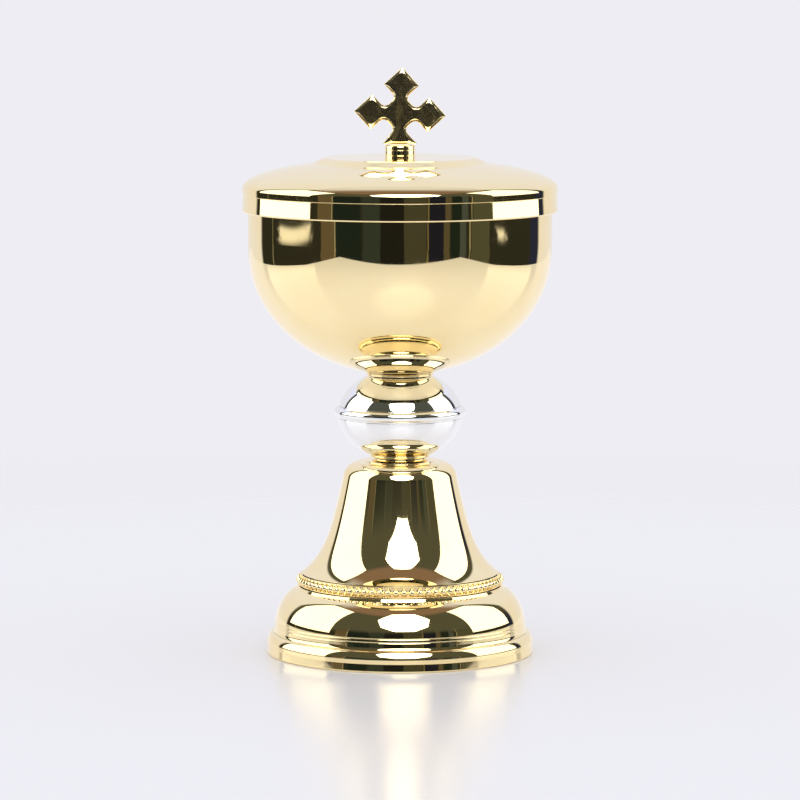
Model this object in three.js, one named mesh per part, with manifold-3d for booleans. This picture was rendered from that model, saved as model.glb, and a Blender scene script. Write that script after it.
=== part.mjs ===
// A ciborium: a lidded communion cup on a stem with a knop and a bell-shaped foot.
// Millimetres, +Z up. The origin is the centre of the foot's underside.
//
// Nearly every piece is turned or spun about the Z axis, so it is a closed outline of [radius, height]
// points revolved about that axis. The lid with its cross lifts straight off the cup.

import * as THREE from 'three';
import { mergeVertices } from 'three/addons/utils/BufferGeometryUtils.js';
import Module from 'manifold-3d';

const wasm = await Module();
wasm.setup();

// ---- driving dimensions ------------------------------------------------------------------------

const SHEET = 1.0;              // wall of the spun lid, knop and bell
const CUP_WALL = 1.2;           // wall of the cup, which carries a drawn edge
const FIT = 0.3;                // gap between pieces that touch
const PLAY = 0.5;               // gap round a rod that only passes through

const FOOT_RADIUS = 53.0;       // heavy rim ring that the vessel stands on
const FOOT_INNER_RADIUS = 48.6;
const FOOT_RIM_TOP = 8.4;
const NECK_RADIUS = 49.8;       // upright neck of the ogee base
const NECK_TOP = 12.0;
const BEAD_COUNT = 80;
const BEAD_CIRCLE = 39.8;       // radius of the circle through the beads' centres
const BEAD_RADIUS = 1.6;
const BEAD_HEIGHT = 29.4;
const BAND_BOTTOM = 27.4;
const BAND_TOP = 31.7;
const BAND_INNER = 37.4;
const BELL_WAIST = 22.5;        // radius of the bell where its shoulder starts
const BELL_SHOULDER = 71.2;
const BELL_TOP = 77.0;

const KNOP_HEIGHT = 95.3;       // equator of the knop
const KNOP_RADIUS = 24.8;
const KNOP_HALF_HEIGHT = 18.2;
const KNOP_RING_RADIUS = 26.4;
const KNOP_RING_HEIGHT = 96.5;  // middle of the ring, a little above the knop's equator
const KNOP_RING_HALF = 2.35;    // half of the ring's height
const KNOP_COLLAR_ANGLE = 57.5; // degrees up the knop's outline at which a collar meets it
const COLLAR_RADIUS = 13.4;
const COLLAR_WAIST = 12.4;

const CUP_RADIUS = 60.0;
const CUP_EQUATOR = 159.7;      // below this the cup's wall is half an ellipse
const CUP_DEPTH = 48.5;
const CUP_RIM = 181.5;

const LID_RADIUS = 62.4;
const LID_BOTTOM = 176.0;
const LID_CREASE = 183.0;
const LID_SHOULDER = 185.3;     // above this the lid is a quarter of an ellipse
const LID_DOME = 11.7;
const PLATFORM_RADIUS = 31.0;
const PLATFORM_TOP = 197.3;

const FERRULE_RADIUS = 6.0;
const FERRULE_TOP = 202.3;
const CROSS_CENTRE = 214.7;
const CROSS_THICKNESS = 4.2;
const ARM_REACH = 11.5;         // centre of the cross to the centre of each end diamond
const END_DIAMOND = 6.6;        // half diagonals
const CENTRE_DIAMOND = 7.6;
const CROSS_LEAN = 3.0;         // degrees that the cross leans towards +X

const ROD_RADIUS = 3.0;
const ROD_PROUD = 4.0;          // thread that shows below the foot's nut
const ROD_ENGAGED = 1.5;        // gap from the rod's upper end to the cup's pole
const BOSS_RADIUS = 6.0;
const BOSS_LENGTH = 13.0;       // from the cup's pole down into the knop
const SPACER_RADIUS = 8.2;
const STUD_RADIUS = 2.0;
const STUD_PROUD = 2.8;
const STUD_SOCKET = 1.8;        // depth of the ferrule's blind hole
const FOOT_WASHER = { radius: 9.0, height: 1.2 };
const FOOT_NUT = { flats: 10.0, height: 5.0 };
const LID_WASHER = { radius: 6.0, height: 1.0 };
const LID_NUT = { flats: 7.0, height: 3.2 };

const LARGE = 36;               // segments round a large piece
const SMALL = 24;               // segments round a small piece

// ---- materials ---------------------------------------------------------------------------------

function metal(color, roughness) {
  return new THREE.MeshStandardMaterial({ color, roughness, metalness: 1.0 });
}

const gold = metal(0xf0c878, 0.08);
const silver = metal(0xdedee2, 0.08);
const brass = metal(0xc9a45c, 0.35);
const steel = metal(0x9c9ea2, 0.3);

// ---- outline and solid helpers -----------------------------------------------------------------

// Points along an ellipse arc in the radius-height plane. Angles in degrees from outwards to upwards.
function arc(r, z, rr, rz, from, to, steps) {
  const points = [];
  for (let i = 0; i <= steps; i++) {
    const angle = THREE.MathUtils.degToRad(from + (to - from) * i / steps);
    points.push([r + rr * Math.cos(angle), z + rz * Math.sin(angle)]);
  }
  return points;
}

function loopArea(loop) {
  let twice = 0;
  loop.forEach(([r, z], i) => {
    const [nextR, nextZ] = loop[(i + 1) % loop.length];
    twice += r * nextZ - nextR * z;
  });
  return twice / 2;
}

// Revolves a closed outline about Z, facing outwards whichever way round the outline runs.
function turned(loop, segments) {
  const outline = loopArea(loop) < 0 ? [...loop].reverse() : [...loop];
  const onAxis = outline.findIndex(([r], i) => {
    const previous = outline[(i + outline.length - 1) % outline.length];
    return r === 0 && previous[0] === 0;
  });
  const start = Math.max(onAxis, 0);
  const ordered = [...outline.slice(start), ...outline.slice(0, start)];
  if (onAxis < 0) ordered.push(ordered[0]);
  const points = ordered.map(([r, z]) => new THREE.Vector2(r, z));
  return new THREE.LatheGeometry(points, segments).rotateX(Math.PI / 2);
}

// The inner face of a spun sheet: the outer outline moved inwards by the wall, along its own normal,
// and trimmed level with the lower edge.
function innerFace(outline, wall, every) {
  const inner = [];
  outline.forEach(([r, z], i) => {
    const [r0, z0] = outline[Math.max(i - 1, 0)];
    const [r1, z1] = outline[Math.min(i + 1, outline.length - 1)];
    const length = Math.hypot(r1 - r0, z1 - z0);
    const last = i === outline.length - 1;
    if (i % every === 0 || last) {
      const height = Math.max(z + wall * (r1 - r0) / length, outline[0][1]);
      inner.push([r - wall * (z1 - z0) / length, height]);
    }
  });
  return inner.reverse();
}

// A spun shell whose outer outline runs up from its lower edge to its upper one.
function spun(outline, wall, segments, every = 2) {
  return turned([...outline, ...innerFace(outline, wall, every)], segments);
}

function toManifold(geometry) {
  const bare = geometry.clone();
  bare.deleteAttribute('normal');
  bare.deleteAttribute('uv');
  const merged = mergeVertices(bare, 1e-4);
  const mesh = new wasm.Mesh({
    numProp: 3,
    vertProperties: new Float32Array(merged.attributes.position.array),
    triVerts: new Uint32Array(merged.index.array),
  });
  return new wasm.Manifold(mesh);
}

function fromManifold(solid) {
  const mesh = solid.getMesh();
  const geometry = new THREE.BufferGeometry();
  geometry.setAttribute('position', new THREE.BufferAttribute(new Float32Array(mesh.vertProperties), 3));
  geometry.setIndex(new THREE.BufferAttribute(new Uint32Array(mesh.triVerts), 1));
  geometry.computeVertexNormals();
  return geometry;
}

function piece(name, geometry, material) {
  const mesh = new THREE.Mesh(geometry, material);
  mesh.name = name;
  return mesh;
}

// A flat ring, or a plain rod when its inner radius is 0.
function ring(inner, outer, bottom, top, segments = SMALL) {
  return turned([[inner, bottom], [outer, bottom], [outer, top], [inner, top]], segments);
}

// A hexagonal nut with a round hole, standing on its lower face.
function nut({ flats, height }, hole, bottom) {
  const corner = flats / Math.sqrt(3);
  const hexagon = new THREE.Shape();
  for (let i = 0; i < 6; i++) {
    const angle = Math.PI / 3 * i;
    const move = i === 0 ? 'moveTo' : 'lineTo';
    hexagon[move](corner * Math.cos(angle), corner * Math.sin(angle));
  }
  hexagon.closePath();
  hexagon.holes.push(new THREE.Path().absarc(0, 0, hole, 0, 2 * Math.PI, true));
  const options = { depth: height, bevelEnabled: false, curveSegments: 12 };
  return new THREE.ExtrudeGeometry(hexagon, options).translate(0, 0, bottom);
}

// ---- foot --------------------------------------------------------------------------------------

function footRim() {
  const lip = 0.9;
  const shoulder = 3.0;
  return turned([
    [FOOT_INNER_RADIUS, 0],
    ...arc(FOOT_RADIUS - lip, lip, lip, lip, -90, 0, 2),
    ...arc(FOOT_RADIUS - shoulder, FOOT_RIM_TOP - shoulder, shoulder, shoulder, 0, 78, 4),
    [FOOT_INNER_RADIUS, FOOT_RIM_TOP],
  ], LARGE);
}

function footBase() {
  const centre = 36.8;          // radius at the middle of the ogee's elliptical shoulder
  const rise = 14.8;
  const end = 63.5;             // degrees at which the shoulder meets the ledge under the beads
  const ledge = { outer: BEAD_CIRCLE + 1.6, inner: BEAD_CIRCLE + 1.0, drop: 1.1 };
  const top = BAND_BOTTOM - FIT;
  const outline = [
    [NECK_RADIUS + FIT, FOOT_RIM_TOP + FIT],
    ...arc(centre, NECK_TOP, NECK_RADIUS - centre, rise, 0, end, 7),
    [ledge.outer, top - ledge.drop],
    [ledge.inner, top],
    [BAND_INNER, top],
  ];
  return spun(outline, SHEET, LARGE);
}

// The beads are one ring: every second column of its outer face is drawn in between two beads.
function beadBand() {
  const back = BEAD_CIRCLE - 1.5;         // inside this the strip behind the beads is plain
  const face = 55;                        // degrees of each bead's outline, up and down, that show
  const inset = 0.9;                      // share of the bead's height that the gaps are cut into
  const geometry = turned([
    [BAND_INNER, BAND_BOTTOM],
    [BEAD_CIRCLE + BEAD_RADIUS / 2, BAND_BOTTOM],
    ...arc(BEAD_CIRCLE, BEAD_HEIGHT, BEAD_RADIUS, BEAD_RADIUS, -face, face, 2),
    [BEAD_CIRCLE, BAND_TOP],
    [BAND_INNER, BAND_TOP],
  ], 2 * BEAD_COUNT);
  const position = geometry.attributes.position;
  for (let i = 0; i < position.count; i++) {
    const x = position.getX(i);
    const y = position.getY(i);
    const radius = Math.hypot(x, y);
    const column = Math.round(Math.atan2(y, x) / Math.PI * BEAD_COUNT);
    const onBead = Math.abs(position.getZ(i) - BEAD_HEIGHT) < inset * BEAD_RADIUS && radius > back;
    if (onBead && column % 2 !== 0) {
      const valley = (BEAD_CIRCLE + BEAD_RADIUS / 5) / radius;
      position.setX(i, x * valley);
      position.setY(i, y * valley);
    }
  }
  return geometry;
}

// The bell's wall is a straight taper plus a flare that dies away upwards.
function bellRadius(height) {
  const taper = 0.21;
  const flare = 8.6;
  const fade = 8.0;
  const rise = height - BAND_TOP - FIT;
  return BELL_WAIST + taper * (BELL_SHOULDER - height) + flare * Math.exp(-rise / fade);
}

function footBell() {
  const steps = 10;
  const crowding = 1.4;         // above 1, the steps lie closer together in the flare
  const bottom = BAND_TOP + FIT;
  const wall = [];
  for (let i = 0; i < steps; i++) {
    const height = bottom + (BELL_SHOULDER - bottom) * (i / steps) ** crowding;
    wall.push([bellRadius(height), height]);
  }
  const shoulder = { r: 15.5, z: 70.0, rr: 7.2, rz: 6.6, start: 11 };
  const outline = [
    ...wall,
    ...arc(shoulder.r, shoulder.z, shoulder.rr, shoulder.rz, shoulder.start, 90, 5),
    [COLLAR_WAIST, BELL_TOP],
    [ROD_RADIUS + PLAY, BELL_TOP],
  ];
  return spun(outline, SHEET, LARGE);
}

// ---- stem --------------------------------------------------------------------------------------

function knopOutline(from, to, steps) {
  return arc(0, KNOP_HEIGHT, KNOP_RADIUS, KNOP_HALF_HEIGHT, from, to, steps);
}

// Half of the knop, closed at its end by a flat web with a hole. Sign -1 gives its lower half.
function knopShell(sign, hole) {
  const seamRise = KNOP_RING_HALF + FIT + sign * (KNOP_RING_HEIGHT - KNOP_HEIGHT);
  const seam = THREE.MathUtils.radToDeg(Math.asin(seamRise / KNOP_HALF_HEIGHT));
  const outline = knopOutline(seam, KNOP_COLLAR_ANGLE, 6);
  const top = outline[outline.length - 1][1];
  const loop = [...outline, [hole, top], [hole, top - SHEET], ...innerFace(outline, SHEET, 2)];
  return turned(loop.map(([r, z]) => [r, KNOP_HEIGHT + sign * (z - KNOP_HEIGHT)]), LARGE);
}

function knopRing() {
  const bead = 1.95;
  const inner = KNOP_RADIUS - 3.0;
  const fillet = KNOP_RADIUS - 0.1;
  const bottom = KNOP_RING_HEIGHT - KNOP_RING_HALF;
  const top = KNOP_RING_HEIGHT + KNOP_RING_HALF;
  return turned([
    [inner, bottom],
    [fillet, bottom],
    ...arc(KNOP_RING_RADIUS - bead, KNOP_RING_HEIGHT, bead, bead, -70, 70, 5),
    [fillet, top],
    [inner, top],
  ], LARGE);
}

function lowerCollar(bottom, top) {
  const moulding = top - 1.3;   // underside of the moulding at the collar's top
  const chamfer = 0.3;
  const hole = ROD_RADIUS + PLAY;
  return turned([
    [hole, bottom],
    [COLLAR_WAIST, bottom],
    [COLLAR_WAIST, moulding],
    [COLLAR_RADIUS - chamfer, moulding],
    [COLLAR_RADIUS, moulding + chamfer],
    [COLLAR_RADIUS, top - chamfer],
    [COLLAR_RADIUS - chamfer, top],
    [hole, top],
  ], SMALL);
}

function upperCollar(bottom, top) {
  const hole = BOSS_RADIUS + PLAY;
  const seat = 1.0;             // depth of the dish that the cup's pole sits in
  const chamfer = 0.3;
  return turned([
    [hole, bottom],
    [COLLAR_RADIUS - chamfer, bottom],
    [COLLAR_RADIUS, bottom + chamfer],
    [COLLAR_RADIUS, top - chamfer],
    [COLLAR_RADIUS - chamfer, top],
    [hole, top - seat],
  ], SMALL);
}

// ---- cup ---------------------------------------------------------------------------------------

function cupBowl() {
  const outside = arc(0, CUP_EQUATOR, CUP_RADIUS, CUP_DEPTH, -90, 0, 11);
  const inside = arc(0, CUP_EQUATOR, CUP_RADIUS - CUP_WALL, CUP_DEPTH - CUP_WALL, 0, -90, 7);
  const chamfer = 0.3;
  outside[0][0] = 0;
  inside[inside.length - 1][0] = 0;
  return turned([
    ...outside,
    [CUP_RADIUS, CUP_RIM - chamfer],
    [CUP_RADIUS - chamfer, CUP_RIM],
    [CUP_RADIUS - CUP_WALL + chamfer, CUP_RIM],
    ...inside,
  ], LARGE);
}

// ---- lid ---------------------------------------------------------------------------------------

function lidCover() {
  const foot = PLATFORM_RADIUS + 2.0;     // where the dome meets the fillet under the platform's edge
  const end = THREE.MathUtils.radToDeg(Math.acos(foot / LID_RADIUS));
  const dome = arc(0, LID_SHOULDER, LID_RADIUS, LID_DOME, 0, end, 9);
  const fillet = { r: PLATFORM_RADIUS + 1.0, z: dome[dome.length - 1][1] + 0.35 };
  const edge = 1.4;                       // radius of the platform's rounded edge
  const centre = PLATFORM_RADIUS - 1.0;
  const outline = [
    [LID_RADIUS, LID_CREASE + FIT],
    ...dome,
    [fillet.r, fillet.z],
    ...arc(centre, PLATFORM_TOP - edge, edge, edge, 15, 90, 3),
    [FERRULE_RADIUS, PLATFORM_TOP],
    [STUD_RADIUS + PLAY, PLATFORM_TOP],
  ];
  return spun(outline, SHEET, LARGE);
}

function lidRimBand() {
  const inner = LID_RADIUS - SHEET;
  const lip = 0.6;
  return turned([
    [inner, LID_BOTTOM],
    ...arc(LID_RADIUS - lip, LID_BOTTOM + lip, lip, lip, -90, 0, 2),
    [LID_RADIUS, LID_CREASE],
    [inner, LID_CREASE],
  ], LARGE);
}

// An angled ring inside the lid: its ledge rests on the cup's rim and its skirt drops inside the cup.
function lidLocatingRing() {
  const ledge = CUP_RIM + FIT;
  const wall = 0.9;
  const play = 0.8;             // lets the skirt drop freely into the cup
  const skirt = CUP_RADIUS - CUP_WALL - play;
  const hem = ledge - 4.5;
  const seat = LID_RADIUS - SHEET - FIT;
  return turned([
    [skirt, hem],
    [skirt, ledge],
    [seat, ledge],
    [seat, ledge + wall],
    [skirt - wall, ledge + wall],
    [skirt - wall, hem],
  ], LARGE);
}

// ---- finial ------------------------------------------------------------------------------------

function finialFerrule() {
  const bottom = PLATFORM_TOP + FIT;
  const chamfer = 0.9;
  const edge = 0.3;
  const socket = STUD_RADIUS + FIT;
  return turned([
    [0, bottom + STUD_SOCKET],
    [socket, bottom + STUD_SOCKET],
    [socket, bottom],
    [FERRULE_RADIUS - edge, bottom],
    [FERRULE_RADIUS, bottom + edge],
    [FERRULE_RADIUS, FERRULE_TOP - chamfer],
    [FERRULE_RADIUS - chamfer, FERRULE_TOP],
    [0, FERRULE_TOP],
  ], SMALL);
}

// A square on its corner, as a flat outline in the cross's plane.
function diamond(x, y, half) {
  const corners = [[half, 0], [0, half], [-half, 0], [0, -half]];
  return new THREE.Shape(corners.map(([dx, dy]) => new THREE.Vector2(x + dx, y + dy)));
}

// A bar through the cross's centre, by its half width and half height.
function bar(width, height) {
  const corners = [[-width, -height], [width, -height], [width, height], [-width, height]];
  return new THREE.Shape(corners.map(([x, y]) => new THREE.Vector2(x, y)));
}

// A flat outline as a plate with bevelled edges, centred on its own plane.
function slab(shape) {
  const bevel = 0.8;
  const geometry = new THREE.ExtrudeGeometry(shape, {
    depth: CROSS_THICKNESS - 2 * bevel, bevelThickness: bevel, bevelSize: bevel,
    bevelOffset: -bevel, bevelSegments: 2,
  });
  return geometry.translate(0, 0, bevel - CROSS_THICKNESS / 2);
}

function finialCross() {
  const arm = ARM_REACH;
  const neck = 2.0;             // half the width of the bars that join the diamonds
  const shapes = [
    diamond(0, 0, CENTRE_DIAMOND), diamond(arm, 0, END_DIAMOND), diamond(-arm, 0, END_DIAMOND),
    diamond(0, arm, END_DIAMOND), diamond(0, -arm, END_DIAMOND), bar(arm, neck), bar(neck, arm),
  ];
  const solids = shapes.map((shape) => toManifold(slab(shape)));
  const joined = solids.reduce((whole, next) => whole.add(next));
  const lean = THREE.MathUtils.degToRad(CROSS_LEAN);
  const upright = fromManifold(joined).rotateX(Math.PI / 2).rotateY(lean);
  const placed = upright.translate(0, 0, CROSS_CENTRE);
  const size = 4 * ARM_REACH;   // a block that takes off the lower tip where it meets the ferrule
  const below = new THREE.BoxGeometry(size, size, size);
  below.translate(0, 0, FERRULE_TOP + FIT - size / 2);
  return fromManifold(toManifold(placed).subtract(toManifold(below)));
}

// ---- assembly ----------------------------------------------------------------------------------

const knopTop = knopOutline(KNOP_COLLAR_ANGLE, KNOP_COLLAR_ANGLE, 1)[0][1];
const knopBottom = 2 * KNOP_HEIGHT - knopTop;
const cupPole = CUP_EQUATOR - CUP_DEPTH;
const collarTop = CUP_EQUATOR - CUP_DEPTH * Math.sqrt(1 - (COLLAR_RADIUS / CUP_RADIUS) ** 2) - FIT;
const bossTop = cupPole - FIT;
const footWasherTop = BELL_TOP - SHEET - FIT;
const footWasherBottom = footWasherTop - FOOT_WASHER.height;
const footNutBottom = footWasherBottom - FIT - FOOT_NUT.height;
const lidWasherTop = PLATFORM_TOP - SHEET - FIT;
const lidWasherBottom = lidWasherTop - LID_WASHER.height;
const lidNutBottom = lidWasherBottom - FIT - LID_NUT.height;
const studTop = PLATFORM_TOP + STUD_SOCKET;

const footWasher = ring(ROD_RADIUS + FIT, FOOT_WASHER.radius, footWasherBottom, footWasherTop);
const footNut = nut(FOOT_NUT, ROD_RADIUS + FIT, footNutBottom);
const tieRod = ring(0, ROD_RADIUS, footNutBottom - ROD_PROUD, cupPole - ROD_ENGAGED, 16);
const knopSpacer = ring(
  BOSS_RADIUS + PLAY, SPACER_RADIUS, knopBottom + SHEET + FIT, knopTop - SHEET - FIT,
);
const bowlBoss = ring(ROD_RADIUS + FIT, BOSS_RADIUS, cupPole - BOSS_LENGTH, bossTop);
const finialStud = ring(0, STUD_RADIUS, lidNutBottom - STUD_PROUD, studTop, 12);
const finialWasher = ring(STUD_RADIUS + FIT, LID_WASHER.radius, lidWasherBottom, lidWasherTop);
const finialNut = nut(LID_NUT, STUD_RADIUS + FIT, lidNutBottom);

const ciborium = new THREE.Group();
ciborium.add(
  piece('foot_rim', footRim(), gold),
  piece('foot_base', footBase(), gold),
  piece('bead_band', beadBand(), gold),
  piece('foot_bell', footBell(), gold),
  piece('foot_washer', footWasher, steel),
  piece('foot_nut', footNut, steel),
  piece('tie_rod', tieRod, steel),
  piece('lower_collar', lowerCollar(BELL_TOP + FIT, knopBottom - FIT), gold),
  piece('knop_lower_shell', knopShell(-1, ROD_RADIUS + PLAY), silver),
  piece('knop_ring', knopRing(), silver),
  piece('knop_upper_shell', knopShell(1, BOSS_RADIUS + PLAY), silver),
  piece('knop_spacer', knopSpacer, brass),
  piece('upper_collar', upperCollar(knopTop + FIT, collarTop), gold),
  piece('bowl_boss', bowlBoss, brass),
  piece('cup_bowl', cupBowl(), gold),
  piece('lid_rim_band', lidRimBand(), gold),
  piece('lid_locating_ring', lidLocatingRing(), gold),
  piece('lid_cover', lidCover(), gold),
  piece('finial_ferrule', finialFerrule(), gold),
  piece('finial_cross', finialCross(), gold),
  piece('finial_stud', finialStud, steel),
  piece('finial_washer', finialWasher, steel),
  piece('finial_nut', finialNut, steel),
);

export default ciborium;
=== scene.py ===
# A ciborium in plated metal: a lidded communion cup on a stem with a knop and a bell-shaped foot.
# The frame is in metres, +Z up, with its origin under the foot. Outlines are [radius, height] in mm.

import math

import bmesh
import bpy
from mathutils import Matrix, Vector


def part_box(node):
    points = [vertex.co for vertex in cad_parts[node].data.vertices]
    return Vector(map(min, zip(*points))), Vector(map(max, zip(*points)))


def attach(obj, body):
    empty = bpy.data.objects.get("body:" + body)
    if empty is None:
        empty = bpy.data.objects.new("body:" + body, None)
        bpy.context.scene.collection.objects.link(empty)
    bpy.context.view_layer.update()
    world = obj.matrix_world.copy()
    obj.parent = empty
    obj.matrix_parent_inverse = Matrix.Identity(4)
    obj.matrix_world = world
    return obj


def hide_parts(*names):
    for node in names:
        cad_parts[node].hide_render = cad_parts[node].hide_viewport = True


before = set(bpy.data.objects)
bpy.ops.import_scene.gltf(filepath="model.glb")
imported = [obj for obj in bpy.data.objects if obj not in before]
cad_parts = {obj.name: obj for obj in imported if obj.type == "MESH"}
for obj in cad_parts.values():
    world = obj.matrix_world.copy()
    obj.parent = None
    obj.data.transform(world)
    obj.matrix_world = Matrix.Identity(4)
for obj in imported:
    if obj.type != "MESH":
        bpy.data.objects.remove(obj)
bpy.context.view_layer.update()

MM = 0.001
SHEET = 1.0                 # wall of the spun pieces
CUP_WALL = 1.2
ROD_BORE = 3.3              # radius of a bore that the tie rod's thread runs in
STUD_BORE = 2.3             # radius of a bore that the finial stud's thread runs in
ROD_HOLE = 3.5              # radius of a hole that the tie rod passes through
BOSS_HOLE = 6.5             # radius of a hole that the cup's boss passes through
BAND_INNER = 37.4           # inner radius of the base's flat top and of the strip on it
EDGE = 0.16                 # radius that every turned edge is broken to
CORNER = math.radians(22)   # an outline that turns more than this at a point has an edge there
LARGE = 288                 # columns round a large piece
SMALL = 144                 # columns round a small piece
OBJECT_COORDINATES = 3      # number of that output on a texture coordinate node


# ---- outlines ----------------------------------------------------------------------------------

def size(node):
    """Outer radius, lowest and highest point of a turned CAD node, in mm."""
    low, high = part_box(node)
    return -low.y / MM, low.z / MM, high.z / MM


def arc(r, z, rr, rz, start, end, steps):
    """Points along an ellipse in the radius-height plane. Angles in degrees from outwards to upwards."""
    angles = [math.radians(start + (end - start) * i / steps) for i in range(steps + 1)]
    return [(r + rr * math.cos(a), z + rz * math.sin(a)) for a in angles]


def rounds(point, angle, arcs):
    """Points along arcs that join smoothly. The first starts at the given point, where the outline
    faces the given angle, and each is (radius, angle that it ends at), with a negative radius where
    it is hollow."""
    made = [point]
    for radius, end in arcs:
        steps = math.ceil(abs(end - angle) / 1.5)
        first = math.radians(angle)
        for i in range(1, steps + 1):
            a = math.radians(angle + (end - angle) * i / steps)
            rise, out = math.sin(a) - math.sin(first), math.cos(a) - math.cos(first)
            made.append((point[0] + radius * out, point[1] + radius * rise))
        point, angle = made[-1], end
    return made


def along(radius, start, end, steps):
    """Points (radius(height), height) from one height to another."""
    heights = [start + (end - start) * i / steps for i in range(steps + 1)]
    return [(radius(height), height) for height in heights]


def grooved(radius, bottom, top, lines, step=0.06):
    """A wall of the given radius function with fine turned lines, each (height, half width, depth)."""
    def wall(height):
        cut = 0.0
        for centre, half, depth in lines:
            away = abs(height - centre) / half
            if away < 1:
                cut += depth * (1 + math.cos(math.pi * away)) / 2
        return radius(height) - cut
    return along(wall, bottom, top, math.ceil((top - bottom) / step))


def inside(outline, wall, floor):
    """The inner face of a sheet whose outer face runs upwards, reversed, and no lower than floor."""
    face = []
    for i, (r, z) in enumerate(outline):
        r0, z0 = outline[max(i - 1, 0)]
        r1, z1 = outline[min(i + 1, len(outline) - 1)]
        length = math.hypot(r1 - r0, z1 - z0)
        face.append((r - wall * (z1 - z0) / length, max(z + wall * (r1 - r0) / length, floor)))
    return face[::-1]


def area(loop):
    """The area inside an outline: positive where the outline runs anticlockwise."""
    following = loop[1:] + loop[:1]
    return sum(a[0] * b[1] - b[0] * a[1] for a, b in zip(loop, following)) / 2


def round_corner(here, before, after, radius, share, steps):
    """Points that round off a corner. before and after lead from it to its neighbours, and the round
    takes up at most the given share of each."""
    turn = math.pi - before.angle(after)
    reach = min(radius * math.tan(turn / 2), share * before.length, share * after.length)
    start = Vector(here) + before.normalized() * reach
    end = Vector(here) + after.normalized() * reach
    made = []
    for k in range(steps + 1):
        t = k / steps
        made.append(tuple((1 - t) ** 2 * start + 2 * t * (1 - t) * Vector(here) + t * t * end))
    return made


def broken(loop, closed):
    """The outline with a small round at each of its corners."""
    made = []
    count = len(loop)
    for i, here in enumerate(loop):
        before = Vector(loop[i - 1]) - Vector(here)
        after = Vector(loop[(i + 1) % count]) - Vector(here)
        at_end = not closed and i in (0, count - 1)
        if at_end or math.pi - before.angle(after) < CORNER:
            made.append(here)
        else:
            made += round_corner(here, before, after, EDGE, 0.45, 5)
    return made


def tidy(loop, closed):
    """The outline without points that lie on top of each other."""
    near = 1e-4
    kept = [loop[0]]
    for point in loop[1:]:
        if math.dist(point, kept[-1]) > near:
            kept.append(point)
    if closed and math.dist(kept[0], kept[-1]) < near:
        kept.pop()
    return kept


# ---- meshes ------------------------------------------------------------------------------------

def outline_normals(loop, closed):
    """Outward normals of an anticlockwise outline. A longer edge counts for more at each of its ends."""
    count = len(loop)
    normals = []
    for i in range(count):
        total = Vector((0.0, 0.0))
        for a, b in ((i - 1, i), (i, i + 1)):
            if closed or (a >= 0 and b < count):
                step = Vector(loop[b % count]) - Vector(loop[a % count])
                total += Vector((step.y, -step.x))
        normals.append(total.normalized())
    return normals


def add_piece(name, vertices, faces, normals, body, finish, nodes):
    """A mesh that rides on a body and stands for the given CAD nodes. normals may be None."""
    slot, material = finish
    mesh = bpy.data.meshes.new(name)
    mesh.from_pydata(vertices, [], faces)
    mesh.polygons.foreach_set("use_smooth", [True] * len(faces))
    mesh.update()
    if normals:
        mesh.normals_split_custom_set_from_vertices(normals)
    piece = bpy.data.objects.new(name, mesh)
    bpy.context.scene.collection.objects.link(piece)
    mesh.materials.append(material)
    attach(piece, body)
    if nodes:
        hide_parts(*nodes)
    return piece


def ring_faces(low, high, columns):
    """Faces between two rings of vertices, of which one may be a single vertex on the axis."""
    faces = []
    for j in range(columns):
        k = (j + 1) % columns
        if len(low) == 1:
            faces.append((low[0], high[k], high[j]))
        elif len(high) == 1:
            faces.append((low[j], low[k], high[0]))
        else:
            faces.append((low[j], low[k], high[k], high[j]))
    return faces


def revolve(name, outline, body, finish, nodes, columns=LARGE):
    """A closed outline, or one that starts and ends on the axis, turned about the axis."""
    closed = not (outline[0][0] == 0 and outline[-1][0] == 0)
    loop = outline if area(outline) > 0 else outline[::-1]
    loop = tidy(broken(tidy(loop, closed), closed), closed)
    flat = outline_normals(loop, closed)
    vertices, normals, rings = [], [], []
    for (r, z), normal in zip(loop, flat):
        around = 1 if r == 0 else columns
        rings.append([len(vertices) + j for j in range(around)])
        for j in range(around):
            angle = 2 * math.pi * j / columns
            c, s = math.cos(angle), math.sin(angle)
            vertices.append((r * c * MM, r * s * MM, z * MM))
            upright = (0, 0, math.copysign(1, normal.y))
            normals.append(upright if around == 1 else (normal.x * c, normal.x * s, normal.y))
    faces = []
    above = rings[1:] + rings[:1] if closed else rings[1:]
    for low, high in zip(rings, above):
        faces += ring_faces(low, high, columns)
    return add_piece(name, vertices, faces, normals, body, finish, nodes)


# ---- node graphs -------------------------------------------------------------------------------

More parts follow.
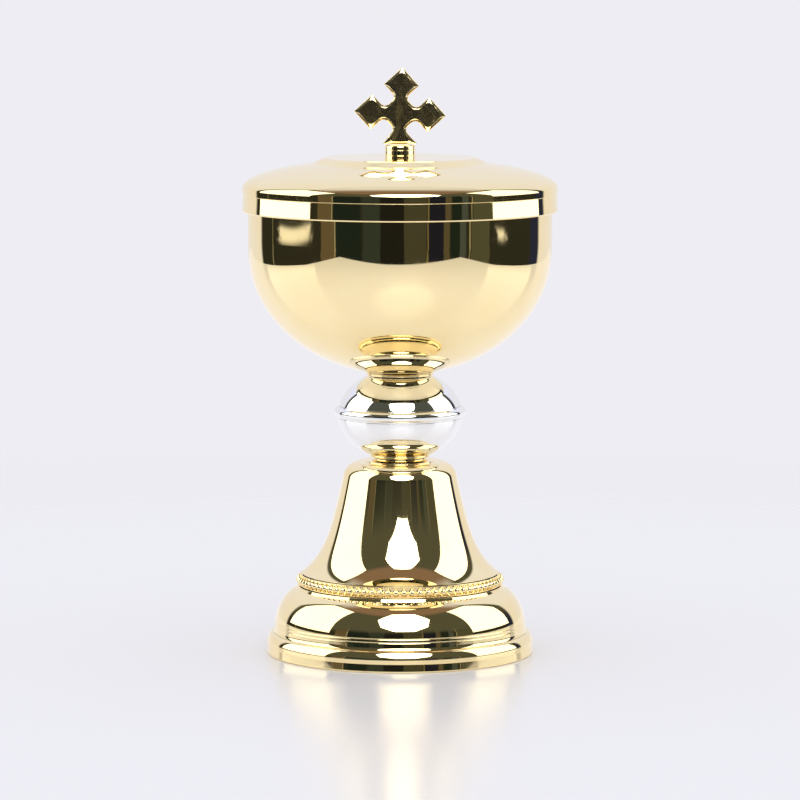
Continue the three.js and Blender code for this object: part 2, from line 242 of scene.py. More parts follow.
class Graph:
    """A short way to write a node tree: each call adds nodes and gives what comes out of the last."""

    def __init__(self, tree):
        self.tree = tree
        tree.nodes.clear()

    def add(self, kind, inputs=None, output=0, **settings):
        """One node with its inputs set or linked. Gives its first output, or the one of that number."""
        node = self.tree.nodes.new("ShaderNode" + kind)
        for key, value in settings.items():
            setattr(node, key, value)
        for key, value in (inputs or {}).items():
            if isinstance(value, bpy.types.NodeSocket):
                self.tree.links.new(value, node.inputs[key])
            else:
                node.inputs[key].default_value = value
        return node.outputs[output] if node.outputs else None

    def math(self, operation, a, b=0.0):
        return self.add("Math", {0: a, 1: b}, operation=operation)

    def split(self, vector):
        """The x, y and z of a vector."""
        node = self.tree.nodes.new("ShaderNodeSeparateXYZ")
        self.tree.links.new(vector, node.inputs[0])
        return node.outputs

    def path(self):
        """The outputs that tell what kind of ray it is."""
        return self.tree.nodes.new("ShaderNodeLightPath").outputs

    def ramp(self, value, low, high, to_low=0.0, to_high=1.0):
        """A smooth step from to_low to to_high as value goes from low to high."""
        inputs = {"Value": value, "From Min": low, "From Max": high, "To Min": to_low, "To Max": to_high}
        return self.add("MapRange", inputs, interpolation_type="SMOOTHSTEP")

    def between(self, value, low, high, soft):
        """1 where value lies from low to high, with soft edges, and 0 elsewhere."""
        rise = self.ramp(value, low - soft, low + soft)
        fall = self.ramp(value, high - soft, high + soft, 1.0, 0.0)
        return self.math("MULTIPLY", rise, fall)

    def blend(self, share, first, second):
        """A mix of two colours: all first at share 0, all second at share 1."""
        node = self.tree.nodes.new("ShaderNodeMix")
        node.data_type = "RGBA"
        sockets = {"Factor": share, "A": first, "B": second}
        for name, value in sockets.items():
            kind = "VALUE" if name == "Factor" else "RGBA"
            socket = next(s for s in node.inputs if s.name == name and s.type == kind)
            if isinstance(value, bpy.types.NodeSocket):
                self.tree.links.new(value, socket)
            else:
                socket.default_value = (*value, 1.0) if kind == "RGBA" else value
        return next(s for s in node.outputs if s.type == "RGBA")

    def noise(self, vector, scale, detail=2.0, roughness=0.5):
        inputs = {"Vector": vector, "Scale": scale, "Detail": detail, "Roughness": roughness}
        return self.add("TexNoise", inputs)


def new_material(name):
    """An empty node material and its graph."""
    material = bpy.data.materials.new(name)
    material.use_nodes = True
    return material, Graph(material.node_tree)


def turning(graph, point):
    """Coordinates (radius, height) of a point, so that noise read there runs in rings."""
    x, y, z = graph.split(point)
    squares = graph.math("ADD", graph.math("MULTIPLY", x, x), graph.math("MULTIPLY", y, y))
    return graph.add("CombineXYZ", {"X": graph.math("SQRT", squares), "Y": z})


def metal(name, colour, tone, roughness, smudge, lines, line_scale, wave, wave_scale=60.0):
    """Metal with handling marks in its gloss, turning lines and a slight wave in its surface.

    tone is the colour that it wanders towards, smudge how much rougher its marks are, lines the depth
    of its turning lines in metres, line_scale how many there are to the metre, wave the depth of its
    waviness in metres, and wave_scale how many waves there are to the metre.
    """
    material, graph = new_material(name)
    point = graph.add("TexCoord", output=OBJECT_COORDINATES)
    rings = turning(graph, point)
    cloud_scale, mark_scale = 45.0, 160.0       # patches to the metre
    cloud = graph.noise(point, cloud_scale, 4.0, 0.6)
    marks = graph.ramp(graph.noise(point, mark_scale, 5.0, 0.65), 0.45, 0.8)
    handled = graph.math("MULTIPLY", marks, graph.ramp(cloud, 0.4, 0.7))
    hairs = graph.noise(rings, line_scale, 3.0, 0.7)
    scratches = graph.ramp(graph.noise(rings, line_scale / 4, 1.0, 0.4), 0.62, 0.75)
    rough = graph.math("ADD", roughness, graph.math("MULTIPLY", handled, smudge))
    rough = graph.math("ADD", rough, graph.math("MULTIPLY", scratches, smudge / 2))
    base = graph.blend(graph.ramp(cloud, 0.3, 0.75), colour, tone)
    fine = graph.add("Bump", {"Height": hairs, "Distance": lines, "Strength": 1.0})
    surface = graph.noise(point, wave_scale, 1.0, 0.4)
    waved = graph.add("Bump", {"Height": surface, "Distance": wave, "Strength": 1.0, "Normal": fine})
    inputs = {"Base Color": base, "Metallic": 1.0, "Roughness": rough, "Normal": waved}
    shader = graph.add("BsdfPrincipled", inputs)
    graph.add("OutputMaterial", {"Surface": shader})
    return material


# ---- materials ---------------------------------------------------------------------------------

GOLD = ("gold_plate", metal("gold_plate_polished", (1.0, 0.845, 0.49), (1.0, 0.815, 0.45),
                            0.03, 0.05, 2.0e-7, 9000.0, 2.0e-5))
CAST_GOLD = ("gold_plate", metal("gold_plate_cast", (1.0, 0.845, 0.48), (1.0, 0.78, 0.40),
                                 0.13, 0.10, 2.0e-7, 4000.0, 3.2e-4, 200.0))
SILVER = ("silver_plate", metal("silver_plate_polished", (0.91, 0.905, 0.885), (0.885, 0.88, 0.86),
                                0.03, 0.05, 2.0e-7, 9000.0, 2.0e-5))
BRASS = ("raw_brass", metal("brass_turned", (0.78, 0.60, 0.30), (0.66, 0.48, 0.24),
                            0.28, 0.15, 8.0e-6, 3500.0, 1.0e-5))
STEEL = ("steel_fastener", metal("steel_zinc", (0.60, 0.60, 0.61), (0.48, 0.50, 0.54),
                                 0.3, 0.2, 5.0e-6, 4000.0, 1.0e-5))


# ---- foot --------------------------------------------------------------------------------------

def foot_rim():
    """A heavy ring: an upright band at the bottom, and above a fine step a bead that rolls inwards."""
    radius, bottom, top = size("foot_rim")
    width = 4.4
    inner = radius - width
    lip = 0.6               # round at the band's lower edge
    taper = 0.28            # how far the band leans in at its top
    step = bottom + 3.4     # height of the fine step
    bead = step + 1.4       # height where the bead is widest
    outline = [
        (inner, bottom),
        *arc(radius - lip, bottom + lip, lip, lip, -90, 6, 12),
        (radius - taper, step),
        (radius - 0.1, step + 0.12),
        *rounds((radius, bead), 0, [(3.0, 14), (6.7, 34), (1.7, 90)]),
        (inner, top),
    ]
    revolve("rim_ring", outline, "cup", GOLD, ["foot_rim"])


def foot_base():
    """A spun ogee: a flared seam, a neck with two fine lines, and a broad rounded shoulder."""
    outer, bottom, top = size("foot_base")
    lean = 5.0              # degrees that the neck leans in
    neck_top = 13.3         # height where the shoulder starts
    neck = outer - 0.35     # radius there
    seam = bottom - 0.25    # the base sits right on the rim ring
    ledge = 40.8            # radius of the flat top's outer edge
    slope = math.tan(math.radians(lean))

    def neck_radius(height):
        return neck + slope * (neck_top - height)

    flare = rounds((0, seam), 34, [(-2.9, lean)])
    shift = neck_radius(flare[-1][1]) - flare[-1][0]
    flare = [(r + shift, z) for r, z in flare]
    lines = [(11.3, 0.3, 0.13), (12.65, 0.35, 0.17)]
    wall = grooved(neck_radius, flare[-1][1], neck_top, lines)
    shoulder = rounds((neck, neck_top), lean, [(13.2, 17), (20.0, 37), (11.4, 60.4)])
    crown = [(ledge + 0.6, top - 1.1), (ledge, top), (BAND_INNER, top)]
    plain = [*flare, *shoulder, *crown]
    outline = [*flare, *wall[1:-1], *shoulder, *crown, *inside(plain, SHEET, seam)]
    revolve("ogee_base", outline, "cup", GOLD, ["foot_base"])


def bead_band():
    """A turned strip and the beaded wire soldered round it."""
    outer, bottom, top = size("bead_band")
    bead = 1.6              # radius of a bead
    circle = outer - bead
    height = bottom + 2.0   # of the beads' centres
    flange = circle + 0.5
    wall = circle - 0.3
    lip = circle - 0.1
    strip = [
        (BAND_INNER, bottom), (flange, bottom), (flange, bottom + 0.35),
        (wall, bottom + 0.8), (wall, top - 0.75), (lip, top - 0.4), (lip, top), (BAND_INNER, top),
    ]
    revolve("bead_strip", strip, "cup", GOLD, ["bead_band"])
    bead_wire(circle, height, bead)


def bead_wire(circle, height, bead, count=80, per_bead=14, section=22):
    """A ring of beads: a wire whose section swells to a ball and narrows to a neck between balls."""
    spacing = 2 * math.pi * circle / count
    neck = 0.42
    vertices, faces = [], []
    columns = count * per_bead
    for j in range(columns):
        angle = 2 * math.pi * j / columns
        phase = (j % per_bead) / per_bead - 0.5
        away = math.sin(math.pi * phase) * spacing / 2
        thick = max(neck, math.sqrt(max(bead ** 2 - away ** 2, 0)))
        for i in range(section):
            turn = 2 * math.pi * i / section
            r = circle + thick * math.cos(turn)
            z = height + thick * math.sin(turn)
            vertices.append((r * math.cos(angle) * MM, r * math.sin(angle) * MM, z * MM))
    for j in range(columns):
        k = (j + 1) % columns
        for i in range(section):
            h = (i + 1) % section
            a, b = j * section, k * section
            faces.append((a + i, b + i, b + h, a + h))
    add_piece("bead_wire", vertices, faces, None, "cup", GOLD, [])


def foot_bell():
    """A bell: a wall that leans in evenly above a flare, a round shoulder and a low seat on its top."""
    outer, bottom, top = size("foot_bell")
    waist = 22.5            # radius where the shoulder starts
    shoulder = 71.2         # height where the shoulder starts
    taper = 0.21            # radius that the wall loses for each mm of height
    flare = 8.6             # what the flare adds to the radius at the bottom
    fade = 8.0              # height in which the flare falls to about a third
    round_radius = 15.5     # radius and height of the shoulder's centre
    round_height = 70.0
    round_width = 7.2
    seat = 13.6             # radius of the seat that the collar stands on
    seat_height = 0.4

    def wall(height):
        return waist + taper * (shoulder - height) + flare * math.exp(-(height - bottom) / fade)

    flat = top - seat_height
    outline = [
        *along(wall, bottom, shoulder - 0.3, 90),
        *arc(round_radius, round_height, round_width, flat - round_height, 12, 90, 36),
        (seat, flat), (seat, top), (ROD_HOLE, top),
    ]
    revolve("bell", outline + inside(outline, SHEET, bottom), "cup", GOLD, ["foot_bell"])


# ---- stem --------------------------------------------------------------------------------------

def lower_collar():
    """A bead under the knop and a narrower waist that flares out onto the bell."""
    radius, bottom, top = size("lower_collar")
    waist = radius - 2.7
    bead = radius - 1.3
    half = 0.55             # half the bead's height
    outline = [
        (ROD_HOLE, bottom), *rounds((waist + 0.6, bottom), 80, [(-0.7, 0)]),
        (waist, top - 2 * half - 0.1),
        *arc(bead - half, top - half, half, half, -90, 90, 20), (ROD_HOLE, top),
    ]
    revolve("stem_collar", outline, "cup", GOLD, ["lower_collar"], SMALL)


def knop_shell(node, name, sign, hole):
    """Half of the knop, from the ring to the collar: the upper half with sign 1, the lower with -1."""
    radius = 24.8
    half_height = 18.2
    height = 95.3           # of the knop's widest place
    collar_angle = 57.5     # degrees up the outline at which it meets the collar
    gap = 0.27              # the shell runs on by this much to meet the ring
    low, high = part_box(node)
    seam = abs((low.z if sign > 0 else high.z) / MM - height) - gap
    start = math.degrees(math.asin(seam / half_height))
    outer = arc(0, height, radius, half_height, start, collar_angle, 64)
    top = outer[-1][1]
    loop = [*outer, (hole, top), (hole, top - SHEET), *inside(outer, SHEET, outer[0][1])]
    outline = [(r, height + sign * (z - height)) for r, z in loop]
    revolve(name, outline, "cup", SILVER, [node])


def knop_ring():
    """A half-round bead on a flat band that the two shells meet."""
    radius, bottom, top = size("knop_ring")
    middle = (bottom + top) / 2
    bead = 2.0              # radius of the bead
    inner = 21.8
    seat = 24.75            # radius of the band
    outline = [
        (inner, bottom), (seat, bottom), *arc(radius - bead, middle, bead, bead, -75, 75, 36),
        (seat, top), (inner, top),
    ]
    revolve("knop_ring_bead", outline, "cup", SILVER, ["knop_ring"])


def upper_collar():
    """A full round ring, dished in its top where the cup's bottom sits."""
    radius, bottom, top = size("upper_collar")
    half = (top - bottom) / 2
    seat = top - 0.8
    outline = [
        (BOSS_HOLE, bottom), *arc(radius - half, bottom + half, half, half, -90, 90, 24),
        (BOSS_HOLE, seat),
    ]
    revolve("cup_collar", outline, "cup", GOLD, ["upper_collar"], SMALL)


# ---- cup ---------------------------------------------------------------------------------------

def cup_bowl():
    """Half an ellipse, whose wall then straightens in two gentle rounds to an upright rim."""
    radius, pole, rim = size("cup_bowl")
    equator = 159.7         # height of the ellipse's centre
    depth = equator - pole
    width = radius - 0.2
    lean = 12.0             # degrees that the wall still leans where the rounds take over
    turn = math.degrees(math.atan(depth / width * math.tan(math.radians(lean))))
    bowl = arc(0, equator, width, depth, -90, -turn, 140)
    wall = rounds(bowl[-1], -lean, [(55.5, -4.5), (90.0, 0)])
    half = CUP_WALL / 2
    edge = wall[-1][0]
    face = [*bowl, *wall[1:], (edge, rim - half)]
    mouth = arc(edge - half, rim - half, half, half, 0, 180, 16)
    hollow = inside(face, CUP_WALL, pole + CUP_WALL)
    face[0] = (0, pole)
    hollow[-1] = (0, pole + CUP_WALL)
    revolve("cup", [*face, *mouth[1:-1], *hollow], "cup", GOLD, ["cup_bowl"])


# ---- lid ---------------------------------------------------------------------------------------

def lid_cover():
    """A short upright wall, a quarter of an ellipse as the dome, and a soft step up to a platform."""
    radius, bottom, top = size("lid_cover")
    seam = bottom - 0.28    # the cover sits right on the band, which leaves a hairline
    shoulder = bottom + 2.0
    dome = 11.7             # height that the ellipse would reach above the shoulder
    step_foot = 35.0        # radius where the step starts
    step_width = 5.6
    step_points = 30
    ferrule = 6.0           # radius of the ferrule that stands on it
    hole = 2.5

    def step(t):
        """The step between the dome and the platform, from t = 0 on the dome to 1 on top."""
        r = step_foot - step_width * t
        low = shoulder + dome * math.sqrt(1 - (r / radius) ** 2)
        return r, low + (top - low) * t * t * (3 - 2 * t)

    start = math.degrees(math.acos(step_foot / radius))
    outline = [
        (radius, seam),
        *arc(0, shoulder, radius, dome, 0, start, 90),
        *[step(i / step_points) for i in range(1, step_points + 1)],
        (ferrule, top), (hole, top),
    ]
    revolve("lid", outline + inside(outline, SHEET, seam), "lid", GOLD, ["lid_cover"])


def lid_rim_band():
    """The lid's upright rim, with a rounded lower edge."""
    radius, bottom, top = size("lid_rim_band")
    inner = radius - SHEET
    lip = 0.6
    taper = 0.3             # the band leans in towards its top
    outline = [
        (inner, bottom),
        *arc(radius - lip, bottom + lip, lip, lip, -90, 0, 12),
        (radius - taper, top), (inner, top),
    ]
    revolve("lid_band", outline, "lid", GOLD, ["lid_rim_band"])


def lid_locating_ring():
    """A flange that rests on the cup's rim and a skirt that reaches down inside it."""
    seat, hem, top = size("lid_locating_ring")
    wall = 0.9
    skirt = 58.0            # outer radius of the skirt
    outline = [
        (skirt, hem), (skirt, top - wall), (seat, top - wall), (seat, top),
        (skirt - wall, top), (skirt - wall, hem),
    ]
    revolve("locating_ring", outline, "lid", GOLD, ["lid_locating_ring"])


def finial_ferrule():
    """A plain turned barrel with two fine lines, a rounded top and a socket for the stud."""
    radius, bottom, top = size("finial_ferrule")
    edge = 0.9              # round at the top
    socket_top = bottom + 1.8
    base = bottom - 0.3     # the ferrule sits right on the lid
    lines = [(bottom + 0.6, 0.22, 0.25), (bottom + 2.7, 0.16, 0.1)]
    outline = [
        (0, socket_top), (STUD_BORE, socket_top), (STUD_BORE, base),
        *grooved(lambda height: radius, base, top - edge, lines),
        *arc(radius - edge, top - edge, edge, edge, 0, 60, 8),
        (radius - edge - 0.5, top), (0, top),
    ]
    revolve("ferrule", outline, "lid", GOLD, ["finial_ferrule"], SMALL)


def cross_corners(reach, lean, centre, floor):
    """The cross's corners, anticlockwise: a diamond at the end of each arm and one in the middle.

    The whole cross leans, and its lowest arm ends in a flared foot that stands level on the floor.
    """
    diamond = 0.38 * reach      # half a diagonal of each end diamond
    middle = 0.445 * reach      # and of the one in the middle
    foot = 0.375 * reach        # half the foot's width
    arm = reach - diamond       # from the cross's centre to an end diamond's
    notch = ((middle + arm - diamond) / 2, (middle - arm + diamond) / 2)
    one_arm = [(notch[0], -notch[1]), (arm, -diamond), (reach, 0), (arm, diamond), notch]
    upright = []
    for c, s in ((1, 0), (0, 1), (-1, 0)):
        upright += [(x * c - y * s, x * s + y * c) for x, y in one_arm]
    upright += [(-notch[1], -notch[0]), (notch[1], -notch[0])]
    c, s = math.cos(lean), math.sin(lean)
    corners = [(x * c + y * s, y * c - x * s + centre) for x, y in upright]
    return corners[:-1] + [(-foot, floor), (foot, floor)] + corners[-1:]


def chamfer_profile(half):
    """Half of the plate's edge, from its middle to its face: (inset from the outline, level)."""
    width, drop = 0.85, 0.57
    edge = half - drop
    steps = 12
    profile = [(0.0, edge - 0.25), (0.0, edge - 0.06)]
    for k in range(steps + 1):
        away = k / steps
        profile.append((0.03 + width * away, half - drop * (1 - away) ** 1.15))
    return profile + [(width + 0.25, half)]


def finial_cross():
    """A cast plate: flat faces with a shallow chamfer round them, which widens at the tips."""
    low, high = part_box("finial_cross")
    lean = math.radians(3)
    reach = high.x / MM / math.cos(lean)
    centre = (high.z - high.x) / MM
    corners = cross_corners(reach, lean, centre, low.z / MM)
    profile = chamfer_profile(high.y / MM)
    rings = [(inset, -level) for inset, level in reversed(profile)] + profile
    vertices, faces = [], []
    count = 0
    for inset, level in rings:
        loop = rounded_polygon(offset_polygon(corners, inset), 0.2 + 2.6 * inset, 2.6 + inset)
        count = len(loop)
        vertices += [(x * MM, level * MM, z * MM) for x, z in loop]
    for k in range(len(rings) - 1):
        for i in range(count):
            j = (i + 1) % count
            a, b = k * count, (k + 1) * count
            faces.append((a + i, a + j, b + j, b + i))
    faces.append(tuple(range(count))[::-1])
    faces.append(tuple(range((len(rings) - 1) * count, len(rings) * count)))
    mesh = add_piece("cross", vertices, faces, None, "lid", CAST_GOLD, ["finial_cross"]).data
    work = bmesh.new()
    work.from_mesh(mesh)
    bmesh.ops.recalc_face_normals(work, faces=work.faces[:])
    bmesh.ops.triangulate(work, faces=[f for f in work.faces if len(f.verts) > 4])
    work.to_mesh(mesh)
    work.free()
    mesh.set_sharp_from_angle(angle=math.radians(45))


def offset_polygon(corners, inset):
    """The polygon moved inwards by inset, with its corners kept sharp."""
    made = []
    count = len(corners)
    for i, here in enumerate(corners):
        back = (Vector(here) - Vector(corners[i - 1])).normalized()
        ahead = (Vector(corners[(i + 1) % count]) - Vector(here)).normalized()
        n0, n1 = Vector((-back.y, back.x)), Vector((-ahead.y, ahead.x))
        bisector = (n0 + n1).normalized()
        made.append(tuple(Vector(here) + bisector * inset / max(bisector.dot(n0), 0.2)))
    return made


def rounded_polygon(corners, tip, hollow):
    """The polygon with a round at each corner, of one radius on the tips and one in the hollows."""
    made = []
    count = len(corners)
    for i, here in enumerate(corners):
        before = Vector(corners[i - 1]) - Vector(here)
        after = Vector(corners[(i + 1) % count]) - Vector(here)
        on_tip = before.x * after.y - before.y * after.x < 0
        made += round_corner(here, before, after, tip if on_tip else hollow, 0.48, 10)
    return made


# ---- fasteners ---------------------------------------------------------------------------------

def threaded(radius, bottom, top, pitch, depth):
    """A rod's outline with thread-like rings along it and chamfered ends."""
    chamfer = 1.2 * depth + 0.3
    per_ring = 8            # points along each ring

    def wall(height):
        ends = max(bottom + chamfer - height, height - top + chamfer, 0)
        ridge = depth * (0.5 - 0.5 * math.cos(2 * math.pi * height / pitch))
        return radius - ridge - ends

    steps = math.ceil((top - bottom) / pitch * per_ring)
    return [(0, bottom), *along(wall, bottom, top, steps), (0, top)]


def rod(node, name, body, pitch, depth):
    """A threaded rod or stud."""
    radius, bottom, top = size(node)
    revolve(name, threaded(radius, bottom, top, pitch, depth), body, STEEL, [node], 48)


def sleeve(node, name, body, finish, hole):
    """A washer or a plain sleeve."""
    radius, bottom, top = size(node)
    outline = [(hole, bottom), (radius, bottom), (radius, top), (hole, top)]
    revolve(name, outline, body, finish, [node], SMALL)


def nut(node, name, body, hole):
    """A hexagon nut with its corners chamfered at both ends, and a bore with chamfered mouths."""
    low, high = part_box(node)
    corner = high.x / MM
    flats = corner * math.sqrt(3) / 2
    bottom, top = low.z / MM, high.z / MM
    columns = 96
    chamfer = 0.12 * corner
    face = flats * 0.96     # radius of the flat round end
    mouth = 0.4

    def hexagon(angle):
        within = (angle + math.pi / 6) % (math.pi / 3) - math.pi / 6
        return flats / math.cos(math.pi / 6 - abs(within))

    def trimmed(angle):
        return min(hexagon(angle), face + chamfer)

    def circle(radius):
        return lambda angle: radius

    levels = [
        (circle(hole + mouth), bottom), (circle(face), bottom), (trimmed, bottom + 0.3),
        (hexagon, bottom + chamfer * 1.2), (hexagon, top - chamfer * 1.2),
        (trimmed, top - 0.3), (circle(face), top), (circle(hole + mouth), top),
        (circle(hole), top - mouth), (circle(hole), bottom + mouth),
    ]
    vertices, faces = [], []
    for radius, height in levels:
        for j in range(columns):
            angle = 2 * math.pi * j / columns
            r = radius(angle)
            vertices.append((r * math.cos(angle) * MM, r * math.sin(angle) * MM, height * MM))
    for i in range(len(levels)):
        k = (i + 1) % len(levels)
        for j in range(columns):
            m = (j + 1) % columns
            faces.append((i * columns + j, i * columns + m, k * columns + m, k * columns + j))
    piece = add_piece(name, vertices, faces, None, body, STEEL, [node])
    piece.data.set_sharp_from_angle(angle=math.radians(25))


# ---- studio ------------------------------------------------------------------------------------

PALE = (0.855, 0.847, 0.896)        # radiance of the backdrop, low and high
HIGH_PALE = (0.86, 0.89, 1.05)
ROOM = (0.026, 0.026, 0.019)        # radiance of the room in front, low and high
UPPER_ROOM = (0.084, 0.086, 0.065)
CEILING = (0.23, 0.155, 0.115)
STRIPS = [                          # from and to azimuth in degrees, and radiance, left to right
    (-112.4, -111.4, (0.25, 0.23, 0.15)),
    (-62, -50.5, (0.115, 0.09, 0.053)),
    (-50.3, -49.6, (0.42, 0.39, 0.26)),
    (-49, -29, (0.012, 0.019, 0.016)),
    (-27.5, -14.5, (0.031, 0.04, 0.036)),
    (-14.5, 3, (0.013, 0.013, 0.012)),
    (3, 19.5, (0.056, 0.055, 0.037)),
    (20.3, 21.2, (0.2, 0.17, 0.08)),
    (21.5, 33, (0.012, 0.013, 0.024)),
    (33, 37.6, (0.09, 0.075, 0.045)),
    (38.4, 45.7, (0.012, 0.02, 0.015)),
    (45.7, 50.6, (0.06, 0.075, 0.07)),
    (53.2, 53.9, (0.36, 0.33, 0.20)),
    (55, 71, (0.076, 0.077, 0.05)),
    (116, 128, (0.02, 0.025, 0.06)),
]
FLOOR = (0.812, 0.818, 0.838)
TABLE = 0.80                        # distance from the object to the table's front and side edges


def camera():
    """A long lens in front of the object, a little above it and tilted down."""
    distance = 1.793
    height = 0.302
    tilt = 6.4
    data = bpy.data.cameras.new("camera")
    data.lens = 204.4
    data.sensor_width = 36
    data.clip_start, data.clip_end = 0.05, 20
    made = bpy.data.objects.new("camera", data)
    made.location = (0, -distance, height)
    made.rotation_euler = (math.radians(90 - tilt), 0, 0)
    bpy.context.scene.collection.objects.link(made)
    bpy.context.scene.camera = made


def room_in_front(graph, direction, azimuth, elevation):
    """A dark room that is lighter higher up, with upright strips of other tones low down."""
    unrest = graph.noise(direction, 14.0, 3.0, 0.6)
    wander = graph.math("MULTIPLY", graph.math("SUBTRACT", unrest, 0.5), 3.0)
    wavering = graph.math("ADD", azimuth, wander)
    room = graph.blend(graph.ramp(elevation, 8, 21), ROOM, UPPER_ROOM)
    low = graph.ramp(elevation, 9, 27, 1.0, 0.0)
    for start, end, colour in STRIPS:
        share = graph.math("MULTIPLY", graph.between(wavering, start, end, 0.4), low)
        room = graph.blend(share, room, colour)
    return room


def studio():
    """The room round the object as light: pale behind, dark with upright strips in front."""
    world = bpy.data.worlds.new("studio")
    world.use_nodes = True
    bpy.context.scene.world = world
    graph = Graph(world.node_tree)
    direction = graph.add("TexCoord")
    x, y, z = graph.split(direction)
    to_degrees = 180 / math.pi
    ahead = graph.math("MULTIPLY", y, -1.0)
    azimuth = graph.math("MULTIPLY", graph.math("ARCTAN2", x, ahead), to_degrees)
    elevation = graph.math("MULTIPLY", graph.math("ARCSINE", z), to_degrees)

    room = room_in_front(graph, direction, azimuth, elevation)
    overhead = graph.blend(graph.ramp(y, 0.02, 0.5), CEILING, HIGH_PALE)
    room = graph.blend(graph.ramp(elevation, 55, 62), room, overhead)
    back = graph.ramp(graph.math("ABSOLUTE", azimuth), 127, 131)
    backdrop = graph.math("MULTIPLY", back, graph.ramp(elevation, 56, 62, 1.0, 0.0))
    backdrop_colour = graph.blend(graph.ramp(elevation, 10, 32), PALE, HIGH_PALE)
    seen = graph.blend(backdrop, room, backdrop_colour)

    path = graph.path()
    colour = graph.blend(path["Is Glossy Ray"], PALE, seen)
    strength = graph.ramp(path["Is Diffuse Ray"], 0, 1, 1.0, 1.27)
    light = graph.add("Background", {"Color": colour, "Strength": strength})
    graph.add("OutputWorld", {"Surface": light})


def glow(name, radiance):
    """An even light."""
    material, graph = new_material(name)
    light = graph.add("Emission", {"Color": (*radiance, 1.0), "Strength": 1.0})
    graph.add("OutputMaterial", {"Surface": light})
    return material


def blot(name, near, far, low, high):
    """A light that frays out into streaks near its card's ends, from near to far in y and low to high."""
    material, graph = new_material(name)
    _, across, up = graph.split(graph.add("TexCoord", output=OBJECT_COORDINATES))
    bands = graph.add("CombineXYZ", {"X": graph.math("MULTIPLY", across, 0.04), "Y": up})
    streaks = graph.noise(bands, 420.0, 3.0, 0.7)
    fray = graph.math("MULTIPLY", graph.math("SUBTRACT", streaks, 0.5), 0.3)
    frayed = graph.math("ADD", across, fray)
    margin, soft = 0.06, 0.03
    inward = graph.between(frayed, near + margin, far - margin, soft)
    sill = 0.0025
    level = graph.between(up, low + sill, high - sill, sill)
    shape = graph.math("MULTIPLY", inward, level)
    light = graph.add("Emission", {"Color": (1.0, 0.96, 0.86, 1.0), "Strength": 1.0})
    mixed = graph.add("MixShader", {0: shape, 1: graph.add("BsdfTransparent"), 2: light})
    graph.add("OutputMaterial", {"Surface": mixed})
    return material


def card(name, corners, material):
    """A flat light panel that only mirrors show: the camera doesn't see it and it casts no shadow."""
    mesh = bpy.data.meshes.new(name)
    mesh.from_pydata(corners, [], [tuple(range(len(corners)))])
    mesh.materials.append(material)
    panel = bpy.data.objects.new(name, mesh)
    bpy.context.scene.collection.objects.link(panel)
    panel.visible_camera = False
    panel.visible_diffuse = False
    panel.visible_shadow = False


def upright_card(name, x, near, far, low, high, material):
    """A card that stands at the given x, from near to far in y and from low to high."""
    card(name, [(x, near, low), (x, far, low), (x, far, high), (x, near, high)], material)


def side_panels():
    """Two tall light panels, one on each side of the table."""
    side = 1.2
    foot, head = 0.125, 2.0
    light = (1.95, 1.95, 1.9)
    for name, x, near, far in (("left_panel", -side, -0.51, 0.72), ("right_panel", side, -0.45, 0.66)):
        upright_card(name, x, near, far, foot, head, glow(name + "_light", light))


def window_glints():
    """Two small low lights that show as pale blots on the cup's upright wall."""
    side = 0.75
    glints = [
        ("left_glint", -side, -0.35, 0.185, 0.1075, 0.1220),
        ("right_glint", side, -0.254, -0.034, 0.1095, 0.1200),
    ]
    for name, x, near, far, low, high in glints:
        upright_card(name, x, near, far, low, high, blot(name + "_light", near, far, low, high))


def front_softbox():
    """An eight-sided lamp above the camera, facing the object."""
    distance = 1.6
    radius = 0.63
    rise = math.radians(42.5)
    aim = math.radians(4.5)     # how far it stands to the right of the camera
    sides = 8
    out = Vector((math.sin(aim) * math.cos(rise), -math.cos(aim) * math.cos(rise), math.sin(rise)))
    centre = out * distance
    right = Vector((math.cos(aim), math.sin(aim), 0))
    up = right.cross(out)
    corners = []
    for i in range(sides):
        angle = 2 * math.pi * (i + 0.5) / sides
        corners.append(centre + right * radius * math.cos(angle) + up * radius * math.sin(angle))
    card("front_softbox", corners, glow("front_softbox_light", (5.0, 5.0, 4.9)))


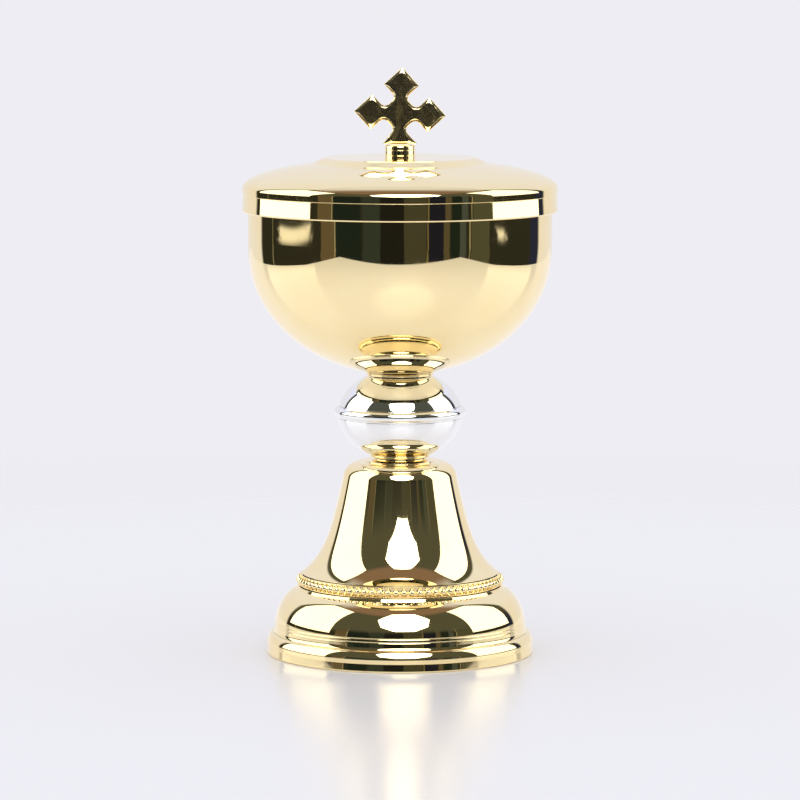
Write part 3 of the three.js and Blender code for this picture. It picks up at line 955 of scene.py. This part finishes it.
def floor():
    """A pale table. To the camera it fades into the backdrop; the metal mirrors it up to its edge."""
    depth = 1.6             # distance to its far edge
    corners = [(-TABLE, -TABLE, 0), (TABLE, -TABLE, 0), (TABLE, depth, 0), (-TABLE, depth, 0)]
    mesh = bpy.data.meshes.new("floor")
    mesh.from_pydata(corners, [], [(0, 1, 2, 3)])
    table = bpy.data.objects.new("floor", mesh)
    bpy.context.scene.collection.objects.link(table)
    material, graph = new_material("floor")
    point = graph.add("TexCoord", output=OBJECT_COORDINATES)
    grain = graph.noise(point, 900.0, 2.0)
    rough = graph.ramp(grain, 0.3, 0.7, 0.21, 0.23)
    path = graph.path()
    lift = graph.math("MULTIPLY", path["Is Glossy Ray"], 0.10)
    inputs = {"Base Color": (*FLOOR, 1.0), "Roughness": rough, "IOR": 1.3,
              "Emission Color": (0.90, 0.87, 0.85, 1.0), "Emission Strength": lift}
    surface = graph.add("BsdfPrincipled", inputs)
    away = graph.add("VectorMath", {0: point}, output=1, operation="LENGTH")
    fade = graph.ramp(away, 0.2, 0.7)
    hidden = graph.math("MULTIPLY", fade, path["Is Camera Ray"])
    clear = graph.add("BsdfTransparent")
    mixed = graph.add("MixShader", {0: hidden, 1: surface, 2: clear})
    graph.add("OutputMaterial", {"Surface": mixed})
    mesh.materials.append(material)


# ---- the object --------------------------------------------------------------------------------

camera()
studio()
side_panels()
front_softbox()
window_glints()
floor()
bpy.context.scene.view_settings.view_transform = "Standard"

foot_rim()
foot_base()
bead_band()
foot_bell()
sleeve("foot_washer", "foot_washer_plain", "cup", STEEL, ROD_BORE)
nut("foot_nut", "foot_nut_hex", "cup", ROD_BORE)
rod("tie_rod", "tie_rod_thread", "cup", 1.0, 0.3)
lower_collar()
knop_shell("knop_lower_shell", "knop_lower", -1, ROD_HOLE)
knop_ring()
knop_shell("knop_upper_shell", "knop_upper", 1, BOSS_HOLE)
sleeve("knop_spacer", "spacer_sleeve", "cup", BRASS, BOSS_HOLE)
upper_collar()
sleeve("bowl_boss", "boss", "cup", BRASS, ROD_BORE)
cup_bowl()
lid_rim_band()
lid_locating_ring()
lid_cover()
finial_ferrule()
finial_cross()
rod("finial_stud", "stud_thread", "lid", 0.7, 0.2)
sleeve("finial_washer", "lid_washer_plain", "lid", STEEL, STUD_BORE)
nut("finial_nut", "lid_nut_hex", "lid", STUD_BORE)
